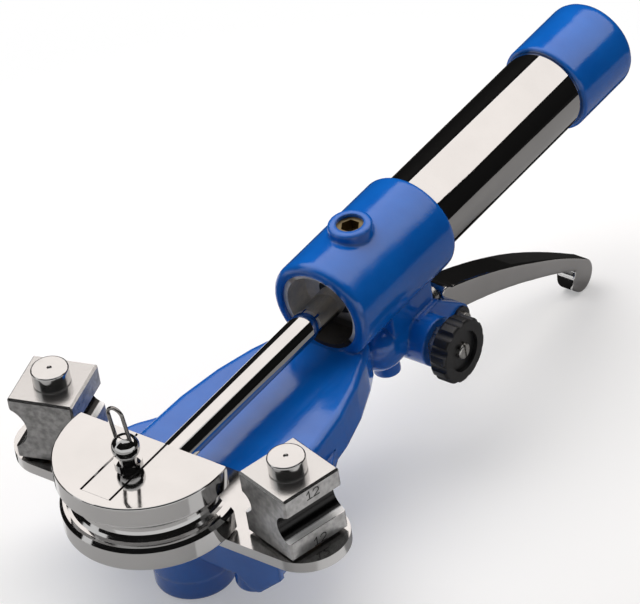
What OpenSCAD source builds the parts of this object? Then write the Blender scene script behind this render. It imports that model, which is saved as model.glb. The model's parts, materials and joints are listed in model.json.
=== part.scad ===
// Hand-pumped hydraulic tube bender.
// A cast body carries a grip tube that is also the oil tank, a ram that pushes a
// half-round former, and a cross plate with two swivelling counter blocks.
// X runs to the right, Y from the counter blocks back to the grip, Z up.
// The origin is the middle of the foot's bottom face, on the line of the swivel pins.

/* [Casting] */
// Height of the ram axis above the foot
ram_z = 70.5; // [66:0.5:80]
// Wall of the hub around the grip tube
hub_wall = 5; // [4:0.5:8]
// Front face of the hub behind the swivel pins
hub_front_y = 111; // [108:1:125]
// Length of the hub
hub_len = 75; // [75:1:90]
// Rounding of the hub's two edges
hub_edge_r = 3.5; // [1:0.5:4]
// Bed surface below the ram axis
bed_drop = 18.5; // [18.5:0.5:21]
// Width of the bed at the cross plate
bed_front_w = 82; // [74:1:90]
// Width of the bed at the hub
bed_rear_w = 46; // [40:1:50]
// Height of the bed's side skirts
skirt_h = 20; // [16:0.5:24]
// Wall of the bed and its skirts
bed_wall = 7; // [5:0.5:9]
// Reach of the casting's arms under the cross plate, from the middle
arm_reach = 61; // [54:1:64]
// Depth of the arms along Y
arm_depth = 24; // [18:1:30]
// Diameter of the foot
foot_d = 38; // [32:0.5:42]
// Diameter of the two screw bosses beside the foot
boss_d = 19; // [18:0.5:22]
// Distance of the screw bosses from the middle
boss_x = 36; // [32:0.5:40]
// Bottom of the screw bosses above the foot's bottom face
boss_lift = 11; // [6:0.5:14]

/* [Grip and tank] */
// Outside diameter of the grip tube
tube_d = 42; // [42:0.5:48]
// Wall of the grip tube
tube_wall = 2.5; // [1.5:0.25:3]
// Length of the grip tube inside the hub
tube_seat = 20; // [12:1:22]
// Free length of the tank behind the pressure cylinder
tank_len = 31; // [24:1:50]
// Wall of the end cap around the tube
cap_wall = 2.2; // [1.5:0.1:5]
// Length of the end cap
cap_len = 44; // [38:1:56]
// Thickness of the end cap's rear wall
cap_end = 14; // [8:0.5:18]
// Rounding of the end cap's rear edge
cap_edge_r = 7; // [2:0.5:8]

/* [Ram] */
// Diameter of the ram rod
rod_d = 14; // [12:0.5:15]
// Diameter of the piston
piston_d = 26; // [24:0.5:27]
// Length of the piston
piston_len = 18; // [14:1:24]
// Wall of the pressure cylinder
cylinder_wall = 3; // [2:0.25:3.5]
// Travel back from the drawn position
ram_back = 85; // [60:1:88]
// Travel forward from the drawn position
ram_forward = 12; // [6:1:16]
// Wire of the return spring
spring_wire = 2.2; // [1.6:0.1:2.4]
// Curls of the return spring
spring_curls = 10; // [6:1:14]
// Depth of the gland nut's front recess
gland_recess = 13.5; // [8:0.5:18]
// Thickness of the gland nut's wall around the rod
gland_wall = 10; // [9:0.5:14]

/* [Former] */
// Radius of the former's rim
former_r = 41.5; // [38:0.5:43]
// Height of the former
former_h = 36; // [34:0.5:38]
// Middle of the former in front of the swivel pins
former_y = 18.5; // [16:0.5:24]
// Former's flat back behind its middle
former_back = 6.5; // [4:0.5:9]
// Diameter of the tube that the former takes
tube_small = 12; // [10:0.5:14]
// Width of the flared mouth of the rim groove
groove_mouth = 16; // [15:0.5:18]
// Rounding of the former's rim edges
former_edge_r = 1; // [0.4:0.2:1.4]
// Width of the ram head in the former's slot
head_w = 16; // [15:0.5:20]
// Diameter of the former's locking pin
lock_d = 10; // [8:0.5:11]
// Diameter of the ball on the locking pin
lock_ball_d = 13; // [11:0.5:16]
// Lift of the locking pin that frees the former
lock_lift = 40; // [36:1:45]

/* [Counter blocks] */
// Side of a counter block
block_side = 32; // [28:0.5:33]
// Top of the blocks above the middle of the groove
block_rise = 17; // [15:0.5:18]
// Turn of the blocks about their pins as drawn, in degrees
block_turn = 15; // [0:1:30]
// Chamfer of the block edges
block_chamfer = 1; // [0.4:0.2:2]
// Radius of the large groove in the left block's outer face
left_outer_r = 12; // [9:0.5:12.5]
// Depth of the large groove in the left block's outer face
left_outer_depth = 7.5; // [4:0.5:8]
// Radius of the groove in the right block's outer face
right_outer_r = 7.6; // [6:0.2:9]
// Gap between a turning block's corner and the former's rim
die_gap = 1.87; // [1:0.01:4]
// Diameter of the swivel pins
swivel_d = 12; // [10:0.5:14]
// Diameter of the swivel pin heads
swivel_head_d = 17.6; // [15:0.2:20]
// Height of the swivel pin heads
swivel_head_h = 8; // [5:0.5:10]
// Width of the cross plate
plate_w = 40; // [34:0.5:42]
// Reach of the cross plate beyond the swivel pins
plate_over = 24; // [22:0.5:30]
// Thickness of the cross plate
plate_t = 5.5; // [5:0.25:8]

/* [Pump and lever] */
// Pump and lever to the right of the ram axis
pump_x = 12; // [9:0.5:14]
// Plunger axis below the hub's lowest line
pump_offset = 6; // [6:0.5:10]
// Diameter of the pump plunger
plunger_d = 10; // [8:0.5:11]
// Arm from the lever's pivot to the plunger
heel_arm = 12.5; // [12:0.25:14]
// Squeeze of the lever, in degrees
lever_squeeze = 28; // [15:1:28]
// Width of the lever
lever_w = 16; // [14:0.5:18]
// Thickness of the lever near its tip
lever_t = 6; // [5:0.5:8]
// Length of the lever along the grip
lever_len = 112; // [90:1:114]
// Drop of the lever below its pivot at the tip
lever_flare = 49; // [46:0.5:55]
// Diameter of the lever's pivot pin
pivot_d = 8; // [6:0.5:9]

/* [Release valve and filler] */
// Release valve axis in front of the pump housing's rear face
valve_fore = 13.3; // [12.3:0.1:16]
// Release valve axis below the ram axis
valve_drop = 36; // [32:0.5:38]
// Diameter of the release knob
knob_d = 32; // [28:0.5:36]
// Thickness of the release knob
knob_t = 9; // [8:0.5:14]
// Finger scallops round the knob
knob_scallops = 12; // [8:1:16]
// Filler boss behind the hub's front face
filler_back = 31.5; // [24:0.5:40]
// Diameter of the filler boss
filler_d = 21; // [19:0.5:24]
// Width across the flats of the filler plug's key socket
filler_key = 8; // [5:0.5:8]

/* [Hidden] */
$fn = 64;

// Finishes
paint = "royalblue";
chrome = "gainsboro";
steel = "silver";
dark_steel = "dimgray";
bronze = "darkgoldenrod";
brass = "goldenrod";
rubber = "#202020";

// Clearances
run_gap = 0.05;
fit_gap = 0.02;
slide_gap = 0.3;
over = 1;

// Grip, hub and cap
hub_r = tube_d / 2 + hub_wall;
hub_rear_y = hub_front_y + hub_len;
tube_start_y = hub_rear_y - tube_seat;
tube_in_r = tube_d / 2 - tube_wall;

// Gland and pressure cylinder
gland_set = 1.5;
gland_r = hub_r - 5.5;
gland_y = hub_front_y + gland_set;
gland_face_y = gland_y + gland_recess;
gland_rear_y = gland_face_y + gland_wall;
flange_t = 3;
cylinder_y = gland_rear_y + flange_t;
cylinder_in_r = piston_d / 2;
cylinder_r = cylinder_in_r + cylinder_wall;
oil_gap = 2;
wiper_t = 2.5;
rod_seal_t = 3;
seal_depth = 3.2;
bush_wall = 2;
seat_t = 2;

// Ram train, from the gland back
spring_y = gland_rear_y + seat_t;
spring_solid = (spring_curls + 1) * spring_wire;
spring_spare = 5;
spring_len = spring_solid + spring_spare + ram_forward;
piston_y = spring_y + spring_len;
nut_t = 7;
nut_r = 8.5;
thread_r = 5;
piston_end_y = piston_y + piston_len;
rod_end_y = piston_end_y + nut_t;
cylinder_floor_y = rod_end_y + ram_back + 2;
cylinder_end_y = cylinder_floor_y + 6;
tube_end_y = cylinder_end_y + tank_len;
cap_y = tube_end_y - (cap_len - cap_end);
cap_r = tube_d / 2 + cap_wall;

// Die heights
die_lift = 1;
die_z = ram_z + die_lift;
plate_gap = 0.6;
former_z = die_z - former_h / 2;
former_top = former_z + former_h;
plate_top = former_z - plate_gap;
plate_z = plate_top - plate_t;
washer_t = 1.2;
washer_r = 13;
block_z = plate_top + washer_t;
block_top = die_z + block_rise;
block_h = block_top - block_z;
pin_x = former_r + block_side / sqrt(2) + die_gap;
plate_end_x = pin_x + plate_over - plate_w / 2;
groove_r = tube_small / 2 + 0.1;
lip_flare = 1.5;
bend_r = former_r - lip_flare;

// Ram head and locking pin
former_back_y = former_back - former_y;
lock_y = -former_y - 11;
head_z = ram_z - rod_d / 2 - 3;
tongue_z = die_z + groove_mouth / 2 + 0.5;
tongue_wall = 6;
tongue_y = -former_y - former_r + tongue_wall;
head_y = lock_y - lock_d / 2 - 6;
spigot_len = 9;
seam_gap = 0.12;
seam_depth = 0.6;
lock_collar_t = 2;
lock_neck = 1.2;
ball_z = former_top + lock_collar_t + lock_neck + lock_ball_d / 2 - 1;
wire_r = 0.9;
loop_w = 8;
loop_h = 21.5;
loop_lean = 8;

// Bed and foot
bed_z = ram_z - bed_drop;
skirt_z = bed_z - skirt_h;
bed_round = 4;
flare_t = 7;
seat_gap = 0.3;
screw_d = 8;
screw_head_d = 13;
screw_head_h = 8;

// Pump, in a frame with its origin beside the ram axis
plunger_z = -(hub_r + pump_offset);
pivot_z = plunger_z - heel_arm;
pivot_y = hub_rear_y - 6;
heel_r = 4;
ear_gap = 0.4;
ear_t = 5;
ear_r = pivot_d / 2 + 3.2;
ear_root = 16;
ear_x = lever_w / 2 + ear_gap;
housing_r = 12.5;
stroke = heel_arm * lever_squeeze * PI / 180;
plunger_end_y = pivot_y - heel_r - run_gap;
collar_t = 3;
collar_r = plunger_d / 2 + 1.6;
housing_end_y = plunger_end_y - collar_t - stroke - 0.5;
pocket_len = 11;
pocket_r = collar_r + 0.5;
pocket_y = housing_end_y - pocket_len;
plunger_seal_t = 4;
plunger_y = pocket_y - plunger_seal_t - 7;
chamber_y = plunger_y - stroke - 2;
housing_y = chamber_y - 1;
check_y = chamber_y + 2.5;
check_r = 4;
check_seat = plunger_d / 2 + 1.5;
check_ball_r = 2.2;
check_port_r = 1.2;
check_plug_t = 3.5;
check_boss_r = check_r + 2.5;
check_end = housing_r + 5;
check_spring_wire = 0.8;
check_spring_r = check_ball_r + check_spring_wire / 2 + 0.1;

// Release valve, parallel to X
valve_y = housing_end_y - valve_fore;
valve_z = ram_z - valve_drop;
valve_boss_r = 12;
valve_boss_x = 33;
valve_tip_x = pump_x + 13;
valve_r = 4;
stem_r = 3;
valve_nut_t = 5;
valve_nut_r = 9;
knob_x = valve_boss_x + valve_nut_t + 1;
knob_dish = 2;
knob_hole_r = 1.6;
knob_screw_len = 6;

// Filler
filler_y = hub_front_y + filler_back;
filler_top = ram_z + hub_r + 4.5;
filler_hole_r = 6.5;
filler_seat = filler_top - 9;
filler_sink = 1.8;
filler_washer_t = 1;

// Points of a circular arc from p to q that bulges by sag to the left of the way
function arc(p, q, sag, n = 12) =
  let (c = norm(q - p), d = (q - p) / c, left = [-d[1], d[0]],
       r = (c * c / 4 + sag * sag) / (2 * sag), m = (p + q) / 2 - left * (r - sag), a = asin(c / 2 / r))
  [for (i = [0:n]) let (t = 2 * a * i / n - a) m + r * (left * cos(t) + d * sin(t))];

// Points of a quarter round of radius e about p, from angle a
function quarter(p, e, a, n = 6) = [for (i = [0:n]) p + e * [cos(a + 90 * i / n), sin(a + 90 * i / n)]];

// Half outline of a round bar with rounded ends
function bar_outline(r, len, e0, e1) =
  concat([[0, 0]], quarter([r - e0, e0], e0, -90), quarter([r - e1, len - e1], e1, 0), [[0, len]]);

// A part that is round about the ram axis, with its own Z along Y
module on_ram(y = 0) translate([0, y, ram_z]) rotate([-90, 0, 0]) children();

// The frame of the pump and lever, with its origin beside the ram axis
module pump_frame() translate([pump_x, 0, ram_z]) children();

// A part that is round about a line parallel to Y in the pump frame
module on_plunger(y = 0) pump_frame() translate([0, y, plunger_z]) rotate([-90, 0, 0]) children();

// A part that is round about the release valve's axis
module on_valve(x = 0) translate([x, valve_y, valve_z]) rotate([0, 90, 0]) children();

module ring(r_in, r_out, len) {
  difference() {
    cylinder(r = r_out, h = len);
    translate([0, 0, -over]) cylinder(r = r_in, h = len + 2 * over);
  }
}

// Box with all its edges chamfered, standing on Z = 0
module chamfer_box(w, d, h, c) {
  module outline(a, b) {
    polygon([[c - a / 2, -b / 2], [a / 2 - c, -b / 2], [a / 2, c - b / 2], [a / 2, b / 2 - c],
             [a / 2 - c, b / 2], [c - a / 2, b / 2], [-a / 2, b / 2 - c], [-a / 2, c - b / 2]]);
  }
  intersection() {
    linear_extrude(h) outline(w, d);
    translate([0, d / 2 + over, h / 2]) rotate([90, 0, 0]) linear_extrude(d + 2 * over) outline(w, h);
    translate([-w / 2 - over, 0, h / 2]) rotate([90, 0, 90]) linear_extrude(w + 2 * over) outline(d, h);
  }
}

// Coil spring standing on Z = 0: one tube of six sides with eight rings to a curl
module coil(r, wire, len, curls, name) {
  rings = 8 * curls;
  sides = 6;
  pitch = (len - wire) / curls;
  lean = atan(pitch / (2 * PI * r));
  function spine(i) = [r * cos(45 * i), r * sin(45 * i), wire / 2 + pitch * i / 8];
  function skin(i, j) =
    let (a = 45 * i, b = 360 * j / sides, u = wire / 2 * cos(b), v = wire / 2 * sin(b))
    spine(i) + u * [cos(a), sin(a), 0] + v * [sin(a) * sin(lean), -cos(a) * sin(lean), cos(lean)];
  points = [for (i = [0:rings], j = [0:sides - 1]) skin(i, j)];
  walls = [for (i = [0:rings - 1], j = [0:sides - 1], k = [0:1])
    let (p = i * sides + j, q = i * sides + (j + 1) % sides)
    k == 0 ? [p, q, q + sides] : [p, q + sides, p + sides]];
  start = [for (j = [1:sides - 2]) [0, j + 1, j]];
  last = rings * sides;
  finish = [for (j = [1:sides - 2]) [last, last + j, last + j + 1]];
  gap = min([for (i = [0:7], j = [8:11]) norm(spine(i) - spine(i + j))]) - wire;
  echo(str(name, " least gap between curls ", gap));
  polyhedron(points, concat(walls, start, finish));
}

// Casting: hub barrel, bed with skirts, arms with foot and bosses, pump housing, filler boss

// Half width of the bed at a share t of its length, full in front and drawn in at the hub
function bed_half(t) = bed_rear_w / 2 + (bed_front_w - bed_rear_w) / 2 * (1 - pow(t, 2.5));
bed_start_y = plate_w / 2;
function bed_y(t) = bed_start_y + t * (hub_front_y - bed_start_y);

module bed_posts(inset, top, round) {
  hull() {
    for (side = [-1, 1], t = [-0.1, 0, 0.35, 0.6, 0.8, 1, 1.1]) {
      translate([side * (bed_half(max(0, t)) - inset - round), bed_y(t), skirt_z]) {
        cylinder(r = round, h = top - skirt_z - round, $fn = 32);
        translate([0, 0, top - skirt_z - round]) sphere(r = round, $fn = 32);
      }
    }
  }
}

// Plan of the flared skirt that joins one side of the bed to an arm
module flare_plan() {
  edge = 4;
  corner_in = 14;
  start = [bed_half(0.6) - edge / 2, bed_y(0.6)];
  shoulder = [arm_reach - 1.5 * edge, bed_y(0.2)];
  finish = [arm_reach, arm_depth / 2 - edge];
  inner = [foot_d / 4, 0];
  corner = [arm_reach - corner_in, edge - arm_depth / 2];
  polygon(concat(arc(start, shoulder, -2), arc(shoulder, finish, 3), [corner, inner]));
}

// Front view of the arms: level top under the plate, underside rounded down to each screw boss
module arm_profile() {
  tip_z = boss_lift + 19;
  web_z = boss_lift + 13;
  keel_z = boss_lift + 8.5;
  keel_drop = 2.4;
  keel = arc([boss_x + 13.5, keel_z], [boss_x + 3.5, keel_z], keel_drop);
  half = concat([[0, plate_z], [arm_reach, plate_z], [arm_reach, tip_z]], keel,
                [[boss_x - 0.5, web_z], [0, web_z]]);
  polygon(half);
  mirror([1, 0]) polygon(half);
}

module arms() {
  foot_edge = 2;
  foot_shoulder = 0.6;
  translate([0, arm_depth / 2, 0]) rotate([90, 0, 0]) linear_extrude(arm_depth) arm_profile();
  rotate_extrude() polygon(bar_outline(foot_d / 2, plate_z, foot_edge, 0.1));
  translate([0, 0, boss_lift]) cylinder(r = foot_d / 2 + foot_shoulder, h = plate_z - boss_lift);
  for (side = [-1, 1]) {
    translate([side * boss_x, 0, boss_lift])
      rotate_extrude() polygon(bar_outline(boss_d / 2, plate_z - boss_lift, foot_edge, 0.1));
  }
}

module ear_profile() {
  ear_top = -hub_r + 2;
  root_y = housing_end_y - ear_root;
  shoulder = [pivot_y + ear_r * sin(45), pivot_z + ear_r * cos(45)];
  translate([pivot_y, pivot_z]) circle(ear_r);
  polygon([[root_y, ear_top], [housing_end_y, ear_top], shoulder,
           [pivot_y, pivot_z - ear_r], [root_y, pivot_z + 2]]);
}

module pump_housing() {
  on_plunger(housing_y) cylinder(r = housing_r, h = housing_end_y - housing_y);
  on_plunger(housing_y) sphere(r = housing_r);
  for (turn = [intake_turn, delivery_turn]) check_place(turn) cylinder(r = check_boss_r, h = check_end);
  pump_frame() {
    translate([-housing_r + 2, housing_y, plunger_z])
      cube([2 * housing_r - 4, housing_end_y - housing_y, hub_r / 2 + pump_offset]);
    for (x = [-ear_x - ear_t, ear_x]) {
      translate([x, 0, 0]) rotate([90, 0, 90]) linear_extrude(ear_t) ear_profile();
    }
  }
}

module pump_bores() {
  on_plunger(chamber_y) cylinder(d = plunger_d + 2 * run_gap, h = housing_end_y - chamber_y + over);
  on_plunger(pocket_y) cylinder(r = pocket_r, h = pocket_len + over);
  on_plunger(pocket_y - plunger_seal_t) cylinder(r = plunger_d / 2 + 2, h = plunger_seal_t + over);
  pump_frame() translate([0, 0, pivot_z]) rotate([0, 90, 0])
    translate([0, pivot_y, -ear_x - ear_t - over])
    cylinder(d = pivot_d + 2 * fit_gap, h = 2 * (ear_x + ear_t + over));
  for (turn = [intake_turn, delivery_turn]) check_place(turn) {
    translate([0, 0, check_seat]) cylinder(r = check_r, h = check_end);
    cylinder(r = check_port_r, h = check_end);
  }
}

// Place of one check valve: out of the pump chamber, downwards or away from the release valve
module check_place(turn) {
  pump_frame() translate([0, check_y, plunger_z]) rotate([0, 180 + turn, 0]) children();
}

module body_casting() {
  tank_r = cylinder_r + oil_gap;
  color(paint)
  difference() {
    union() {
      on_ram(hub_front_y) rotate_extrude() polygon(bar_outline(hub_r, hub_len, hub_edge_r, hub_edge_r));
      difference() {
        union() {
          bed_posts(0, bed_z, bed_round);
          for (side = [0, 1]) mirror([side, 0, 0])
            translate([0, 0, skirt_z]) linear_extrude(flare_t) flare_plan();
        }
        difference() {
          translate([0, 0, -over]) bed_posts(bed_wall, bed_z - bed_wall + over, 2);
          on_ram(hub_front_y - over) cylinder(r = hub_r - 1, h = hub_len);
        }
      }
      arms();
      pump_housing();
      on_valve() cylinder(r = valve_boss_r, h = valve_boss_x);
      translate([0, filler_y, ram_z]) rotate_extrude()
        polygon(bar_outline(filler_d / 2, filler_top - ram_z, 0.1, 1.5));
    }
    translate([-2 * arm_reach, -plate_w / 2 - seat_gap, plate_z])
      cube([4 * arm_reach, plate_w + 2 * seat_gap, plate_t + hub_r]);
    on_ram(hub_front_y - over) cylinder(r = gland_r, h = cylinder_y - hub_front_y + over);
    on_ram(cylinder_y - over) cylinder(r = tank_r, h = hub_len);
    on_ram(tube_start_y) cylinder(d = tube_d + 2 * fit_gap, h = tube_seat + over);
    on_ram(tube_start_y + tube_seat / 2 - 2) cylinder(r = tube_d / 2 + 2, h = 4);
    pump_bores();
    for (side = [-1, 1]) translate([side * pin_x, 0, 0]) cylinder(r = swivel_d / 2 + 4.5, h = ram_z);
    on_valve(valve_tip_x) cylinder(r = valve_r + run_gap, h = valve_boss_x);
    translate([0, filler_y, filler_seat]) cylinder(r = filler_hole_r, h = filler_top);
    translate([0, filler_y, ram_z]) cylinder(r = filler_hole_r - 2, h = filler_top - ram_z);
    for (side = [-1, 1]) translate([side * boss_x, 0, boss_lift]) {
      translate([0, 0, -over]) cylinder(d = screw_d + 2 * slide_gap, h = plate_z);
      translate([0, 0, -over]) cylinder(d = screw_head_d + 2 * slide_gap, h = screw_head_h + 2 + over);
    }
  }
}

// Cross plate, its screws and the swivel pins

module cross_plate() {
  color(chrome)
  difference() {
    union() {
      translate([-plate_end_x, -plate_w / 2, plate_z]) cube([2 * plate_end_x, plate_w, plate_t]);
      for (side = [-1, 1]) translate([side * plate_end_x, 0, plate_z]) cylinder(d = plate_w, h = plate_t);
    }
    for (side = [-1, 1]) {
      translate([side * pin_x, 0, 0]) cylinder(d = swivel_d + 2 * fit_gap, h = ram_z);
      translate([side * boss_x, 0, 0]) cylinder(d = screw_d + 2 * fit_gap, h = plate_top - 0.6);
    }
  }
}

module plate_screws() {
  key_r = 3.4;
  color(dark_steel)
  for (side = [-1, 1]) translate([side * boss_x, 0, boss_lift + 2]) difference() {
    union() {
      cylinder(d = screw_head_d, h = screw_head_h);
      cylinder(d = screw_d, h = plate_top - 1 - boss_lift - 2);
    }
    translate([0, 0, -over]) cylinder(r = key_r, h = 4 + over, $fn = 6);
  }
}

circlip_t = 1.2;
clip_gap = 0.1;
circlip_depth = 1;
swivel_tail = 4;

module swivel_pin(side) {
  clip_z = plate_z - clip_gap - circlip_t;
  head_z0 = block_top + 0.2;
  dimple_r = 1.2;
  color(chrome)
  translate([side * pin_x, 0, 0]) difference() {
    union() {
      translate([0, 0, clip_z - swivel_tail])
        cylinder(d = swivel_d, h = head_z0 - clip_z + swivel_tail + 0.5);
      translate([0, 0, head_z0])
        rotate_extrude() polygon(bar_outline(swivel_head_d / 2, swivel_head_h, 0.4, 1));
    }
    translate([0, 0, clip_z - fit_gap])
      ring(swivel_d / 2 - circlip_depth, swivel_d, circlip_t + 2 * fit_gap);
    translate([0, 0, head_z0 + swivel_head_h]) sphere(r = dimple_r);
  }
}

module left_swivel_pin() swivel_pin(-1);

module right_swivel_pin() swivel_pin(1);

module thrust_washers() {
  color(bronze)
  for (side = [-1, 1]) translate([side * pin_x, 0, plate_top])
    ring(swivel_d / 2 + fit_gap, washer_r, washer_t);
}

module open_clip(r_in, r_out, t) {
  difference() {
    ring(r_in, r_out, t);
    translate([0, -r_in * 0.6, -over]) cube([2 * r_out, r_in * 1.2, t + 2 * over]);
  }
}

module swivel_circlips() {
  color(dark_steel)
  for (side = [-1, 1]) translate([side * pin_x, 0, plate_z - clip_gap - circlip_t])
    open_clip(swivel_d / 2 - circlip_depth + fit_gap, swivel_d / 2 + 2.5, circlip_t);
}

// Counter block about its pin, with its inner groove towards +X
module counter_block(outer_r, outer_depth) {
  half = block_side / 2;
  difference() {
    chamfer_box(block_side, block_side, block_h, block_chamfer);
    translate([0, 0, -over]) cylinder(d = swivel_d + 2 * run_gap, h = block_h + 2 * over);
    translate([half, -block_side, die_z - block_z]) rotate([-90, 0, 0])
      cylinder(r = groove_r, h = 2 * block_side);
    translate([-half - outer_r + outer_depth, -block_side, die_z - block_z]) rotate([-90, 0, 0])
      cylinder(r = outer_r, h = 2 * block_side);
  }
}

module left_block() {
  color(chrome)
  translate([-pin_x, 0, block_z]) rotate([0, 0, block_turn]) counter_block(left_outer_r, left_outer_depth);
}

module right_block() {
  color(chrome)
  translate([pin_x, 0, block_z]) rotate([0, 0, -block_turn]) mirror([1, 0, 0])
    counter_block(right_outer_r, right_outer_r);
}

// Grip tube, end cap and tank

module handle_tube() {
  color(chrome)
  on_ram(tube_start_y + fit_gap) ring(tube_in_r, tube_d / 2, tube_end_y - tube_start_y - fit_gap);
}

module tube_seal() {
  color(rubber)
  on_ram(tube_start_y + tube_seat / 2 - 1.8) ring(tube_d / 2 + fit_gap, tube_d / 2 + 1.9, 3.6);
}

bladder_t = 1.5;

module end_cap() {
  cup = cap_len - cap_end;
  lip_r = 1.2;
  color(paint)
  on_ram(cap_y) difference() {
    rotate_extrude() polygon(bar_outline(cap_r, cap_len, lip_r, cap_edge_r));
    translate([0, 0, -over]) cylinder(d = tube_d + 2 * fit_gap, h = cup + bladder_t + over);
    cylinder(r = tube_in_r - 3, h = cap_len - 4);
  }
}

module tank_bladder() {
  depth = tank_len - 6;
  bag_r = tube_in_r - 1;
  color(rubber)
  on_ram(tube_end_y - depth) difference() {
    union() {
      rotate_extrude() polygon(bar_outline(bag_r, depth + bladder_t, 4, 0.1));
      translate([0, 0, depth]) cylinder(r = tube_d / 2 - 0.5, h = bladder_t);
    }
    translate([0, 0, bladder_t])
      rotate_extrude() polygon(bar_outline(bag_r - bladder_t, depth + over, 3, 0.1));
  }
}

// Gland and pressure cylinder

module pressure_cylinder() {
  color(steel)
  on_ram() difference() {
    union() {
      translate([0, 0, gland_rear_y]) cylinder(r = gland_r - run_gap, h = flange_t);
      translate([0, 0, gland_rear_y]) cylinder(r = cylinder_r, h = cylinder_end_y - gland_rear_y);
    }
    translate([0, 0, gland_rear_y - over])
      cylinder(r = cylinder_in_r, h = cylinder_floor_y - gland_rear_y + over);
  }
}

module gland_nut() {
  recess_r = gland_r - 2.2;
  slot_w = 5;
  color(steel)
  on_ram(gland_y) difference() {
    cylinder(r = gland_r - run_gap, h = gland_recess + gland_wall);
    translate([0, 0, -over]) cylinder(r = recess_r, h = gland_recess + over);
    cylinder(d = rod_d + 4 * run_gap, h = gland_recess + gland_wall + over);
    translate([0, 0, gland_recess - over]) cylinder(r = rod_d / 2 + seal_depth, h = wiper_t + over);
    translate([0, 0, gland_recess]) cylinder(r = rod_d / 2 + bush_wall, h = gland_wall - rod_seal_t);
    translate([0, 0, gland_recess + gland_wall - rod_seal_t])
      cylinder(r = rod_d / 2 + seal_depth, h = rod_seal_t + over);
    for (turn = [0, 90]) rotate([0, 0, turn + 45])
      translate([-gland_r, -slot_w / 2, -over]) cube([2 * gland_r, slot_w, 3 + over]);
  }
}

module wiper_ring() {
  lip = 0.8;
  color(rubber)
  on_ram(gland_face_y) difference() {
    rotate_extrude() polygon([[rod_d / 2 + run_gap, -lip], [rod_d / 2 + 1, -lip],
                              [rod_d / 2 + seal_depth - fit_gap, 0.3],
                              [rod_d / 2 + seal_depth - fit_gap, wiper_t],
                              [rod_d / 2 + run_gap, wiper_t]]);
  }
}

module rod_bush() {
  color(bronze)
  on_ram(gland_face_y + wiper_t)
    ring(rod_d / 2 + run_gap, rod_d / 2 + bush_wall - fit_gap, gland_wall - wiper_t - rod_seal_t);
}

module rod_seal() {
  color(rubber)
  on_ram(gland_rear_y - rod_seal_t) ring(rod_d / 2 + run_gap, rod_d / 2 + seal_depth - fit_gap, rod_seal_t);
}

module spring_seat() {
  color(dark_steel)
  on_ram(gland_rear_y) ring(rod_d / 2 + 0.25, cylinder_in_r - 0.1, seat_t);
}

// Ram

module return_spring() {
  mean_r = (rod_d / 2 + cylinder_in_r) / 2;
  color(dark_steel)
  on_ram(spring_y) coil(mean_r, spring_wire, spring_len, spring_curls, "return_spring");
}

piston_groove_t = 5;
piston_groove_depth = 3;

module piston() {
  color(steel)
  on_ram(piston_y) difference() {
    cylinder(r = cylinder_in_r - run_gap, h = piston_len);
    translate([0, 0, -over]) cylinder(r = thread_r + fit_gap, h = piston_len + 2 * over);
    translate([0, 0, (piston_len - piston_groove_t) / 2])
      ring(cylinder_in_r - piston_groove_depth, piston_d, piston_groove_t);
  }
}

module piston_seal() {
  seal_in_r = cylinder_in_r - piston_groove_depth + fit_gap;
  color(rubber)
  on_ram(piston_y + (piston_len - piston_groove_t) / 2 + fit_gap)
    ring(seal_in_r, cylinder_in_r - run_gap, piston_groove_t - 2 * fit_gap);
}

module piston_nut() {
  color(dark_steel)
  on_ram(piston_end_y) difference() {
    cylinder(r = nut_r, h = nut_t - 0.5, $fn = 6);
    translate([0, 0, -over]) cylinder(r = thread_r + fit_gap, h = nut_t + over);
  }
}

module ram_rod() {
  color(chrome)
  on_ram() union() {
    translate([0, 0, former_back_y - spigot_len]) cylinder(r = thread_r, h = spigot_len + over);
    translate([0, 0, former_back_y]) cylinder(d = rod_d, h = piston_y - former_back_y);
    translate([0, 0, piston_y - over]) cylinder(r = thread_r, h = rod_end_y - piston_y + over);
  }
}

// Ram head outline seen from the right: a full height heel and a shallow tongue in front
module head_profile(grow) {
  polygon([[former_back_y, head_z - grow], [former_back_y, former_top], [tongue_y - grow, former_top],
           [tongue_y - grow, tongue_z - grow], [head_y - grow, tongue_z - grow],
           [head_y - grow, head_z - grow]]);
}

// Wedges along both top edges of the ram head's slot, seen as lines in the former's top
module seam_wedges(depth) {
  for (side = [-1, 1])
    translate([side * head_w / 2, former_back_y + over, former_top]) rotate([90, 0, 0])
      linear_extrude(former_back_y - tongue_y + seam_gap + over)
      polygon([[0, -depth], [depth + over, over], [-depth - over, over]]);
}

module head_solid(grow) {
  w = head_w + 2 * grow;
  translate([-w / 2, 0, 0]) rotate([90, 0, 90]) linear_extrude(w) head_profile(grow);
}

module ram_head() {
  color(steel)
  difference() {
    head_solid(0);
    on_ram(former_back_y - spigot_len - 0.5) cylinder(r = thread_r + fit_gap, h = 4 * spigot_len);
    translate([0, lock_y, 0]) cylinder(d = lock_d + 2 * run_gap, h = former_top + over);
    seam_wedges(seam_depth);
  }
}

// Half outline of the former: a rim with a flared round groove
function former_outline() =
  let (m = former_h / 2, e = former_edge_r, mouth = groove_mouth / 2)
  concat([[0, 0]], quarter([former_r - e, e], e, -90), [[former_r, m - mouth]],
         [for (a = [-90:15:90]) [bend_r - groove_r * cos(a), m + groove_r * sin(a)]],
         [[former_r, m + mouth]], quarter([former_r - e, former_h - e], e, 0), [[0, former_h]]);

module former() {
  color(chrome)
  difference() {
    translate([0, -former_y, former_z]) rotate_extrude($fn = 128) polygon(former_outline());
    translate([-2 * former_r, former_back_y, 0]) cube([4 * former_r, 4 * former_r, 4 * former_r]);
    translate([0, seam_gap, 0]) head_solid(seam_gap);
    head_solid(seam_gap);
    translate([0, 0, over]) head_solid(seam_gap);
    translate([0, lock_y, 0]) cylinder(d = lock_d + 2 * run_gap, h = former_top);
    seam_wedges(seam_depth);
  }
}

loop_place = [0, lock_y, ball_z];

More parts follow.
